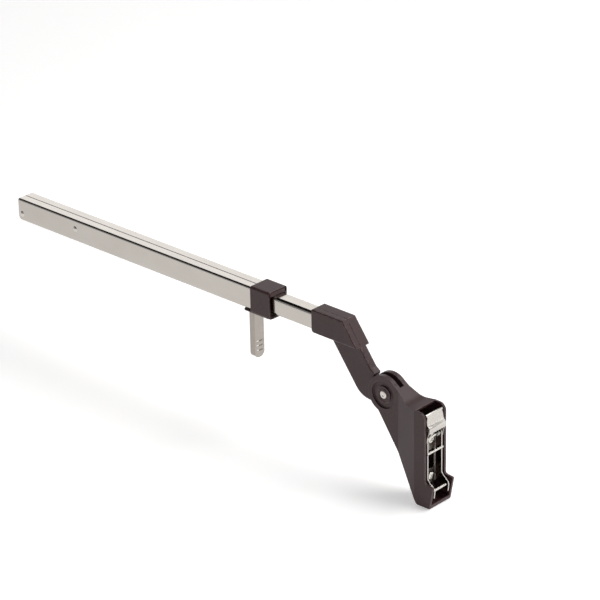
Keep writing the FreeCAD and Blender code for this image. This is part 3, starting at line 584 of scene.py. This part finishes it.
def smooth_line(points: Outline) -> list[tuple[float, float]]:
    """Run a smooth line through points.

    Args:
        points: Points that the line passes through.

    Returns:
        The points of the line.
    """
    ends = [points[0], *points, points[-1]]
    line: list[tuple[float, float]] = []
    for a, b, c, d in zip(ends, ends[1:], ends[2:], ends[3:]):
        for step in range(LINE_STEPS):
            t = step / LINE_STEPS
            line.append(tuple(
                0.5 * (2 * q + (r - p) * t + (2 * p - 5 * q + 4 * r - s) * t * t
                       + (3 * q - p - 3 * r + s) * t ** 3)
                for p, q, r, s in zip(a, b, c, d)
            ))
    line.append(tuple(points[-1]))
    return line


def bent_sheet(front: Outline, thickness: float) -> list[tuple[float, float]]:
    """Give a bent sheet its thickness.

    Args:
        front: Line of the sheet's front face, in order.
        thickness: Sheet thickness, in mm, laid off to the right of the line.

    Returns:
        Closed outline of the sheet's section.
    """
    back: list[tuple[float, float]] = []
    for index, (x, z) in enumerate(front):
        x0, z0 = front[max(index - 1, 0)]
        x1, z1 = front[min(index + 1, len(front) - 1)]
        run = math.hypot(x1 - x0, z1 - z0)
        back.append((x + (z1 - z0) / run * thickness, z - (x1 - x0) / run * thickness))
    return [*front, *reversed(back)]


def carve(piece: bpy.types.Object, tool: bpy.types.Object) -> None:
    """Cut a tool's shape out of a piece and discard the tool.

    Args:
        piece: Closed object to cut.
        tool: Closed object whose shape is cut away.
    """
    cut = piece.modifiers.new("cut", "BOOLEAN")
    cut.object = tool
    cut.solver = "EXACT"
    settle(piece)
    bpy.data.objects.remove(tool)


@dataclass
class Shop:
    """Nodes and finishes that every sub-assembly works with.

    Attributes:
        nodes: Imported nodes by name.
        finishes: Finishes by name.
    """

    nodes: dict[str, bpy.types.Object]
    finishes: Finishes

    def dress(self, finish: bpy.types.Material, slot: Slot, *names: str) -> None:
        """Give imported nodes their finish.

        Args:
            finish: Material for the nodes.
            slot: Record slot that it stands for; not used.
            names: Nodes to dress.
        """
        for name in names:
            node = self.nodes[name]
            for index in range(len(node.material_slots)):
                node.material_slots[index].material = finish
            LOG.info("dressed %s", name)

    def fit(
        self, piece: bpy.types.Object, body: Body, finish: bpy.types.Material, slot: Slot,
        *stands_for: str,
    ) -> None:
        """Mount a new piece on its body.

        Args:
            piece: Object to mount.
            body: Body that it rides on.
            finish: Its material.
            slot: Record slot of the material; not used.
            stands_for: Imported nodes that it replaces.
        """
        piece.data.materials.clear()
        piece.data.materials.append(finish)
        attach(piece, body.value)
        if stands_for:
            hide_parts(*stands_for)
        LOG.info("fitted %s on %s", piece.name, body.value)


# ------------------------------------------------------------------ sub-assemblies


@dataclass
class Rails:
    """Roll-formed outer rail, inner rail, rivets and the blocks inside.

    Attributes:
        seam_width: Width of the dark strip of painted shade along the outer rail's open seam, in
            mm.
        seam_proud: Height of that strip above the rail, in mm.
        seam_depth: How far the strip reaches into the rail's wall, in mm.
        seam_start: Distance from the rail's end to the strip's, in mm.
        seam_tuck: Length of the strip that the collar hides, in mm.
    """

    seam_width: float = 0.9
    seam_proud: float = 0.03
    seam_depth: float = 0.4
    seam_start: float = 0.3
    seam_tuck: float = 12.0

    def build(self, shop: Shop) -> None:
        """Dress the rails and lay a dark strip of painted shade along the outer rail's open seam.

        Args:
            shop: Nodes and finishes.
        """
        finishes = shop.finishes
        low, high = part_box("outer_rail")
        start = low.x / MM + self.seam_start
        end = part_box("collar_housing")[0].x / MM + self.seam_tuck
        bottom = high.z / MM - self.seam_depth
        top = high.z / MM + self.seam_proud
        # Dark strip along the seam: painted shade of the open seam's hollow.
        dark_strip = side_plate("rail_painted_shadow_strip", [
            (start, bottom), (end, bottom), (end, top), (start, top),
        ], -self.seam_width / 2, self.seam_width / 2)
        round_edges(dark_strip, lambda edge: self.seam_proud)
        shop.fit(dark_strip, Body.RAIL, finishes.painted_seam_shade, Slot.NICKEL)
        shop.dress(finishes.rolled_nickel, Slot.NICKEL, "outer_rail", "inner_rail")
        shop.dress(finishes.black_nylon, Slot.BLACK, "rail_end_plug", "travel_stop", "rail_glide")
        shop.dress(finishes.turned_steel, Slot.BRIGHT, "rail_rivets", "rail_cross_pin")


@dataclass
class Collar:
    """Moulded collar with its release lever, pin and brake shoe.

    Attributes:
        proud: Rounding of the collar's outer edges, in mm.
        inner: Rounding of the edges around its bore, in mm.
        sheet_edge: Rounding of the lever's sheared edges, in mm.
        wiper_sheet: Thickness of the wiper and its gap to the inner rail, in mm.
        wiper_seat: How far the wiper stays inside the collar's outline, in mm.
        wiper_recess: How far it is set back from the collar's mouth, in mm.
        wiper_foot: Z of the side wiper's lower edge, in mm.
    """

    proud: float = 0.3
    inner: float = 0.1
    sheet_edge: float = 0.22
    wiper_sheet: tuple[float, float] = (1.6, 0.25)
    wiper_seat: float = 1.0
    wiper_recess: float = 0.3
    wiper_foot: float = 63.2

    def build(self, shop: Shop) -> None:
        """Make the collar and its lever.

        Args:
            shop: Nodes and finishes.
        """
        finishes = shop.finishes
        housing = clean_copy(shop.nodes["collar_housing"], "collar_moulding")
        round_edges(housing, lambda edge: self.proud if is_convex(edge) else self.inner)
        shop.fit(housing, Body.RAIL, finishes.grained_nylon, Slot.BROWN, "collar_housing")
        lever = clean_copy(shop.nodes["release_lever"], "pressed_release_lever")
        round_edges(lever, lambda edge: self.sheet_edge)
        shop.fit(lever, Body.LEVER, finishes.passivated_steel, Slot.NICKEL, "release_lever")
        shop.dress(finishes.turned_steel, Slot.BRIGHT, "lever_pin", "brake_shoe")
        self.wiper(shop)

    def wiper(self, shop: Shop) -> None:
        """Close the collar's mouth above and beyond the inner rail.

        Args:
            shop: Nodes and finishes.
        """
        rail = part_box("inner_rail")[1] / MM
        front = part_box("collar_housing")[1] / MM
        thickness, gap = self.wiper_sheet
        reach = front.y - self.wiper_seat
        high = front.z - self.wiper_seat
        back = front.x - self.wiper_recess - thickness
        for name, z_low, y_low in (
            ("collar_wiper_top", rail.z + gap, -reach),
            ("collar_wiper_side", self.wiper_foot, rail.y + gap),
        ):
            plate = side_plate(name, [
                (back, z_low), (back + thickness, z_low), (back + thickness, high), (back, high),
            ], y_low, reach)
            round_edges(plate, lambda edge: self.inner)
            shop.fit(plate, Body.RAIL, shop.finishes.grained_nylon, Slot.BROWN)


@dataclass
class Elbow:
    """Two moulded elbow shells around the steel core of the arm.

    Attributes:
        proud: Rounding of the shells' outer edges, in mm.
        inner: Rounding of the concave edges, in mm.
        parting: Rounding on each side of the line where the shells meet, in mm.
        shortest: Length of the shortest edge that is rounded, in mm.
    """

    proud: float = 0.35
    inner: float = 0.25
    parting: float = 0.5
    shortest: float = 0.6

    def shell_radius(self, edge: bmesh.types.BMEdge) -> float:
        """Radius of one edge of a shell.

        Args:
            edge: Edge of the shell.

        Returns:
            Its radius in mm.
        """
        if edge.calc_length() < self.shortest * MM:
            return 0.0
        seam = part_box("elbow_near_shell")[1].y
        if all(abs(vertex.co.y - seam) < SNAP * MM for vertex in edge.verts):
            return self.parting
        return self.proud if is_convex(edge) else self.inner

    def build(self, shop: Shop) -> None:
        """Make the shells and dress what they hold.

        Args:
            shop: Nodes and finishes.
        """
        finishes = shop.finishes
        for side in ("near", "far"):
            node = f"elbow_{side}_shell"
            shell = clean_copy(shop.nodes[node], f"elbow_{side}_moulding")
            round_edges(shell, self.shell_radius)
            shop.fit(shell, Body.ARM, finishes.grained_nylon, Slot.BROWN, node)
        shop.dress(finishes.turned_steel, Slot.BRIGHT, "arm_core", "shell_screws")


@dataclass
class ClipFoot:
    """Moulded foot housing with its pivot, chassis, bars and screws.

    Attributes:
        edge: Rounding of the housing's edges, in mm.
        sheet_edge: Rounding of the chassis's sheared edges, in mm.
        flare_crease: Angle, in degrees, from which a bend in the sides stays crisp.
        boss_groove: Inner and outer radius of the groove around the pivot, in mm.
        groove_depth: Depth of that groove, in mm.
        web_margin: Width of the web's bright border beside the flanges, in mm.
        screw_rise: Height of a screw head, in mm.
        screw_profile: Radius and height of the head's points, as shares of its own.
        screw_neck: Share of the head's radius that the screw's shank has.
        screw_length: Length of the shank, in mm.
        screw_shift: How far the heads stand beside and above the web's middle, in mm.
        screw_heights: Z of the two screws, in mm.
        recess_width: Width of a screw's cross recess, in mm.
        recess_depth: Depth of that recess, in mm.
        recess_reach: Half its length, as a share of the head's radius.
        recess_turn: Turn of the recess, in radians.
        head_seat: Depth of the seat under each pivot head, in mm.
        head_profile: Share of the radius, and height over the face in mm, of a pivot head.
        shank_radius: Radius of the pivot's shank, in mm.
    """

    edge: float = 0.35
    sheet_edge: float = 0.2
    flare_crease: float = 13.0
    boss_groove: tuple[float, float] = (4.9, 5.6)
    groove_depth: float = 0.5
    web_margin: float = 2.0
    screw_rise: float = 1.6
    screw_profile: Outline = (
        (1.0, 0.0), (1.0, 0.45), (0.93, 0.72), (0.7, 0.93), (0.4, 1.0), (0.0, 1.0),
    )
    screw_neck: float = 0.45
    screw_length: float = 5.0
    screw_shift: tuple[float, float] = (-3.6, 4.6)
    screw_heights: tuple[float, float] = (8.4, -24.0)
    recess_width: float = 0.75
    recess_depth: float = 0.75
    recess_reach: float = 0.62
    recess_turn: float = 0.6
    head_seat: float = 1.5
    head_profile: Outline = (
        (1.0, 0.0), (0.86, 0.28), (0.5, 0.34), (0.36, 0.05), (0.0, -0.05),
    )
    shank_radius: float = 2.5

    def build(self, shop: Shop) -> None:
        """Make the foot and dress its metal parts.

        Args:
            shop: Nodes and finishes.
        """
        finishes = shop.finishes
        housing = clean_copy(shop.nodes["foot_housing"], "foot_moulding")
        self.groove_bosses(housing)
        round_edges(housing, lambda edge: self.edge)
        shade(housing, crease=self.flare_crease)
        shop.fit(housing, Body.FOOT, finishes.grained_nylon, Slot.BROWN, "foot_housing")
        self.chassis(shop)
        self.screws(shop)
        self.pivot(shop)
        shop.dress(finishes.turned_steel, Slot.BRIGHT, "mid_bar", "hook_bar", "latch_pin")
        shop.dress(finishes.spring_wire, Slot.BRIGHT, "latch_spring")

    def groove_bosses(self, housing: bpy.types.Object) -> None:
        """Turn the ring groove into the boss around each end of the pivot.

        Args:
            housing: Foot housing to cut.
        """
        low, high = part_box("pivot_bolt")
        centre = (low + high) / (2 * MM)
        face = -low.y / MM
        inner, outer = self.boss_groove
        for side in (-1, 1):
            start = Vector((centre.x, side * (face - self.groove_depth), centre.z))
            clear = 3 * self.groove_depth
            tool = lathe("groove_tool", [
                (inner, 0), (outer, 0), (outer, clear), (inner, clear), (inner, 0),
            ], start, Vector((0, side, 0)))
            carve(housing, tool)

    def chassis(self, shop: Shop) -> None:
        """Press the chassis, with painted shade on the flanges' inner faces and a duller web.

        Args:
            shop: Nodes and finishes.
        """
        finishes = shop.finishes
        chassis = clean_copy(shop.nodes["clip_chassis"], "pressed_clip_chassis")
        round_edges(chassis, lambda edge: self.sheet_edge)
        shop.fit(chassis, Body.FOOT, finishes.pressed_nickel, Slot.NICKEL, "clip_chassis")
        chassis.data.materials.append(finishes.painted_shade_steel)
        chassis.data.materials.append(finishes.passivated_steel)
        # The flanges' inner faces take the dark brown finish: painted shade inside the chassis.
        shaded, dull = 1, 2
        square = 0.9  # share of a normal that lies along one axis
        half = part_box("clip_chassis")[1].y
        for face in chassis.data.polygons:
            inward = face.normal.y * face.center.y < 0 and abs(face.normal.y) > square
            if inward and abs(face.center.y) > half / 2:
                face.material_index = shaded
            elif face.normal.x > square and abs(face.center.y) < half - self.web_margin * MM:
                face.material_index = dull

    def screws(self, shop: Shop) -> None:
        """Make the two cross-recess pan-head screws of the chassis.

        Args:
            shop: Nodes and finishes.
        """
        low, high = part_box("chassis_screws")
        radius = (high.y - low.y) / (2 * MM)
        across, lift = self.screw_shift
        top = high.x / MM
        neck = self.screw_neck * radius
        reach = self.recess_reach * radius
        outline = [
            (share * radius, height * self.screw_rise) for share, height in self.screw_profile
        ]
        tall = 1.0  # half the height of the tool that cuts the recess, in mm
        for number, height in enumerate(self.screw_heights, start=1):
            seat = Vector((top - self.screw_rise + lift, across, height))
            head = lathe(f"web_screw_{number}", [
                (0, -self.screw_length), (neck, -self.screw_length), (neck, 0), *outline,
            ], seat, Vector((1, 0, 0)))
            for turn in (self.recess_turn, self.recess_turn + math.pi / 2):
                slot = side_plate("recess_tool", [
                    (-tall, -reach), (tall, -reach), (tall, reach), (-tall, reach),
                ], -self.recess_width / 2, self.recess_width / 2)
                middle = Vector((top + lift + tall - self.recess_depth, across, height))
                slot.data.transform(
                    Matrix.Translation(middle * MM) @ Matrix.Rotation(turn, 4, "X"))
                carve(head, slot)
            shade(head)
            replaced = ("chassis_screws",) if number == 1 else ()
            shop.fit(head, Body.FOOT, shop.finishes.turned_steel, Slot.BRIGHT, *replaced)

    def pivot(self, shop: Shop) -> None:
        """Make the peened pivot rivet and its closing head.

        Args:
            shop: Nodes and finishes.
        """
        low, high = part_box("pivot_bolt")
        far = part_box("pivot_nut")[1].y / MM
        centre = (low + high) / (2 * MM)
        radius = (high.x - low.x) / (2 * MM)
        near = low.y / MM
        for name, node, face, side in (
            ("pivot_rivet", "pivot_bolt", near, -1), ("pivot_rivet_head", "pivot_nut", far, 1),
        ):
            start = Vector((centre.x, face - side * self.head_seat, centre.z))
            profile = [(0, 0), (radius, 0)]
            if side < 0:
                tip = -(high.y - low.y) / MM + self.head_seat
                wide = self.shank_radius
                profile = [(0, tip), (wide, tip), (wide, 0), (radius, 0)]
            profile += [
                (share * radius, self.head_seat + rise) for share, rise in self.head_profile
            ]
            rivet = lathe(name, profile, start, Vector((0, side, 0)))
            shade(rivet, flat_faces=False)
            shop.fit(rivet, Body.FOOT, shop.finishes.turned_steel, Slot.BRIGHT, node)


@dataclass
class Latch:
    """Bent latch plate on its two ears, with the strap that curls round the pin.

    Attributes:
        sheet: Thickness of the sheet, in mm.
        edge: Rounding of the plate's edges, in mm.
        face: X and Z of the plate's front face from its top edge down, in mm.
        strap: X and Z of the strap from the lip to the pin, in mm.
        strap_sides: Y of the strap's two sides, in mm.
        strap_edge: Rounding of the strap's edges, in mm.
        ear: X and Z of an ear's corners, in mm.
        ear_sheet: Thickness of an ear, in mm.
        ear_edge: Rounding of an ear's edges, in mm.
        curl_gap: Gap between the curl and the pin, in mm.
        curl_bevel: Bevel of the curl's outer rims, in mm.
    """

    sheet: float = 0.9
    edge: float = 0.34
    face: Outline = (
        (-2.3, 31.55), (-1.6, 31.6), (-0.95, 31.1), (-0.72, 30.2), (-0.5, 28.0), (-0.2, 25.0),
        (0.0, 23.6), (0.2, 22.9), (0.55, 22.3), (1.2, 21.62), (1.9, 20.92), (2.5, 20.2),
        (2.66, 19.5), (2.64, 18.4), (2.4, 16.6), (1.7, 15.4),
    )
    strap: Outline = (
        (2.0, 16.2), (1.5, 14.6), (0.6, 13.0), (-0.2, 11.6), (-1.2, 10.2), (-1.6, 9.0),
    )
    strap_sides: tuple[float, float] = (-7.2, -4.4)
    strap_edge: float = 0.2
    ear: Outline = (
        (-5.2, 7.2), (-0.8, 7.2), (0.2, 12.6), (1.2, 15.0), (1.4, 17.0), (0.0, 20.0),
        (-5.2, 14.6),
    )
    ear_sheet: float = 0.5
    ear_edge: float = 0.12
    curl_gap: float = 0.05
    curl_bevel: float = 0.15

    def build(self, shop: Shop) -> None:
        """Make the latch from its plate, ears, strap and curl.

        Args:
            shop: Nodes and finishes.
        """
        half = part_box("clip_latch")[1].y / MM
        plate = side_plate("latch_plate", bent_sheet(smooth_line(self.face), self.sheet),
                           -half, half)
        round_edges(plate, lambda edge: self.edge)
        shade(plate, flat_faces=False)
        self.fit(shop, plate, "clip_latch")
        for side, name in ((-1, "near"), (1, "far")):
            inner, outer = sorted((side * (half - self.ear_sheet), side * half))
            ear = side_plate(f"latch_ear_{name}", self.ear, inner, outer)
            round_edges(ear, lambda edge: self.ear_edge)
            self.fit(shop, ear)
        strap = side_plate("latch_strap", bent_sheet(smooth_line(self.strap), self.sheet),
                           *self.strap_sides)
        round_edges(strap, lambda edge: self.strap_edge)
        self.fit(shop, strap)
        self.curl(shop)

    def curl(self, shop: Shop) -> None:
        """Roll the strap's end round the latch pin.

        Args:
            shop: Nodes and finishes.
        """
        pin_low, pin_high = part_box("latch_pin")
        centre = (pin_low + pin_high) / (2 * MM)
        radius = (pin_high.x - pin_low.x) / (2 * MM)
        start, end = self.strap_sides
        wide = end - start
        bore = radius + self.curl_gap
        outside = radius + self.sheet
        bevel = self.curl_bevel
        curl = lathe("latch_curl", [
            (bore, 0), (outside - bevel, 0), (outside, bevel), (outside, wide - bevel),
            (outside - bevel, wide), (bore, wide), (bore, 0),
        ], Vector((centre.x, start, centre.z)), Vector((0, 1, 0)))
        shade(curl)
        self.fit(shop, curl)

    @staticmethod
    def fit(shop: Shop, piece: bpy.types.Object, *stands_for: str) -> None:
        """Mount one piece of the latch."""
        shop.fit(piece, Body.LATCH, shop.finishes.pressed_nickel, Slot.NICKEL, *stands_for)


# ------------------------------------------------------------------ studio


@dataclass
class Studio:
    """Pale lit table, surroundings, one softbox and the camera.

    Attributes:
        eye: Place of the camera, in mm.
        heading: Turn of the camera from +Y towards -X, in degrees.
        tilt: Downward tilt of the camera, in degrees.
        roll: Roll of the camera, in degrees.
        lens: Focal length, in mm.
        frame: Width of the camera's frame, in mm.
        sight: Nearest and farthest distance that the camera sees, in metres.
        table_half: Half the side of the table, in metres.
        table_gap: Gap between the table and the arm's lowest point, in mm.
        table_haze: Size of the faint clouds in the table's sheet, in mm.
        softbox: Place of the softbox, in metres.
        softbox_side: Its side, in metres.
        softbox_power: Its power, in watts.
        ceiling: Heights between which the lit room fades into the dark ceiling.
        backdrop: Depths between which the grey room fades into the white backdrop.
        room_light: Brightness of the backdrop.
    """

    eye: tuple[float, float, float] = (1261.9, -1482.1, 1049.5)
    heading: float = 43.467
    tilt: float = 25.313
    roll: float = -1.132
    lens: float = 169.13
    frame: float = 36.0
    sight: tuple[float, float] = (0.05, 60.0)
    table_half: float = 15.0
    table_gap: float = 0.1
    table_haze: float = 400.0
    softbox: tuple[float, float, float] = (0.55, 0.75, 1.9)
    softbox_side: float = 1.3
    softbox_power: float = 34.0
    ceiling: tuple[float, float] = (0.48, 0.54)
    backdrop: tuple[float, float] = (-0.35, 0.0)
    room_light: float = 1.45

    def build(self) -> None:
        """Set the table, the surroundings, the softbox and the camera."""
        self.table()
        self.surroundings()
        self.soft_light("key_softbox")
        self.camera()
        bpy.context.scene.view_settings.view_transform = "Standard"

    def table(self) -> None:
        """Lit shooting table: a wide pale sheet of opal acrylic, lit a little from below."""
        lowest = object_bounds()[0].z
        mesh = bpy.data.meshes.new("table_sheet")
        work = bmesh.new()
        bmesh.ops.create_grid(work, x_segments=4, y_segments=4, size=self.table_half)
        level = lowest - self.table_gap * MM
        bmesh.ops.translate(work, verts=work.verts, vec=(0, 0, level))
        work.to_mesh(mesh)
        work.free()
        sheet = link("table_sheet", mesh)
        material = bpy.data.materials.new("opal_acrylic_sheet")
        tree = fresh_tree(material)
        haze = add_node(tree, "ShaderNodeTexNoise", {
            "Vector": stretched_place(tree, (self.table_haze,) * 3), "Scale": 1.0,
        })
        tone = add_node(tree, "ShaderNodeMix", {
            "Factor": haze.outputs["Fac"], "A": linear("f2f1f0"), "B": linear("f7f6f5"),
        }, data_type="RGBA")
        acrylic = add_node(tree, "ShaderNodeBsdfPrincipled", {
            "Base Color": tone.outputs["Result"], "Roughness": 0.6, "IOR": 1.3,
            "Emission Color": linear("ffffff"), "Emission Strength": 0.4,
        })
        add_node(tree, "ShaderNodeOutputMaterial", {"Surface": acrylic.outputs["BSDF"]})
        mesh.materials.append(material)
        sheet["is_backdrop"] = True

    def surroundings(self) -> None:
        """White backdrop behind the table, a grey room in front and a dark ceiling."""
        world = bpy.data.worlds.new("studio")
        bpy.context.scene.world = world
        tree = fresh_tree(world)
        place = add_node(tree, "ShaderNodeTexCoord")
        split = add_node(tree, "ShaderNodeSeparateXYZ", {"Vector": place.outputs["Generated"]})
        below_top = add_node(tree, "ShaderNodeMapRange", {
            "Value": split.outputs["Z"], "From Min": self.ceiling[0],
            "From Max": self.ceiling[1], "To Min": 1.0, "To Max": 0.0,
        }, interpolation_type="SMOOTHSTEP")
        behind = add_node(tree, "ShaderNodeMapRange", {
            "Value": split.outputs["Y"], "From Min": self.backdrop[0],
            "From Max": self.backdrop[1],
        }, interpolation_type="SMOOTHSTEP")
        backdrop = add_node(tree, "ShaderNodeMath", {
            0: below_top.outputs["Result"], 1: behind.outputs["Result"],
        }, operation="MULTIPLY")
        room = add_node(tree, "ShaderNodeMix", {
            "Factor": below_top.outputs["Result"], "A": linear("0e0e0f"), "B": linear("8a8a8b"),
        }, data_type="RGBA")
        glow = add_node(tree, "ShaderNodeMix", {
            "Factor": backdrop.outputs[0], "A": room.outputs["Result"], "B": linear("ffffff"),
        }, data_type="RGBA")
        sky = add_node(tree, "ShaderNodeBackground", {
            "Color": glow.outputs["Result"], "Strength": self.room_light,
        })
        add_node(tree, "ShaderNodeOutputWorld", {"Surface": sky.outputs["Background"]})

    def soft_light(self, name: str) -> None:
        """Hang the square softbox, looking at the middle of the arm.

        Args:
            name: Name of the light.
        """
        place = Vector(self.softbox)
        low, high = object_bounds()
        data = bpy.data.lights.new(name, "AREA")
        data.size = self.softbox_side
        data.energy = self.softbox_power
        lamp = bpy.data.objects.new(name, data)
        lamp.location = place
        lamp.rotation_euler = ((low + high) / 2 - place).to_track_quat("-Z", "Y").to_euler()
        bpy.context.scene.collection.objects.link(lamp)

    def camera(self) -> None:
        """Stand the camera in its place."""
        data = bpy.data.cameras.new("camera")
        data.lens = self.lens
        data.sensor_width = self.frame
        data.clip_start, data.clip_end = self.sight
        camera = bpy.data.objects.new("camera", data)
        bpy.context.scene.collection.objects.link(camera)
        camera.matrix_world = (
            Matrix.Translation(Vector(self.eye) * MM)
            @ Matrix.Rotation(math.radians(self.heading), 4, "Z")
            @ Matrix.Rotation(math.radians(90 - self.tilt), 4, "X")
            @ Matrix.Rotation(math.radians(self.roll), 4, "Z")
        )
        bpy.context.scene.camera = camera


def main() -> None:
    """Build every sub-assembly around the frame, then the studio."""
    logging.basicConfig(level=logging.INFO, format="%(message)s")
    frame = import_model()
    shop = Shop(frame["nodes"], Finishes())
    for assembly in (Rails(), Collar(), Elbow(), ClipFoot(), Latch()):
        assembly.build(shop)
        LOG.info("built %s", type(assembly).__name__)
    Studio().build()


if __name__ == "__main__":
    main()
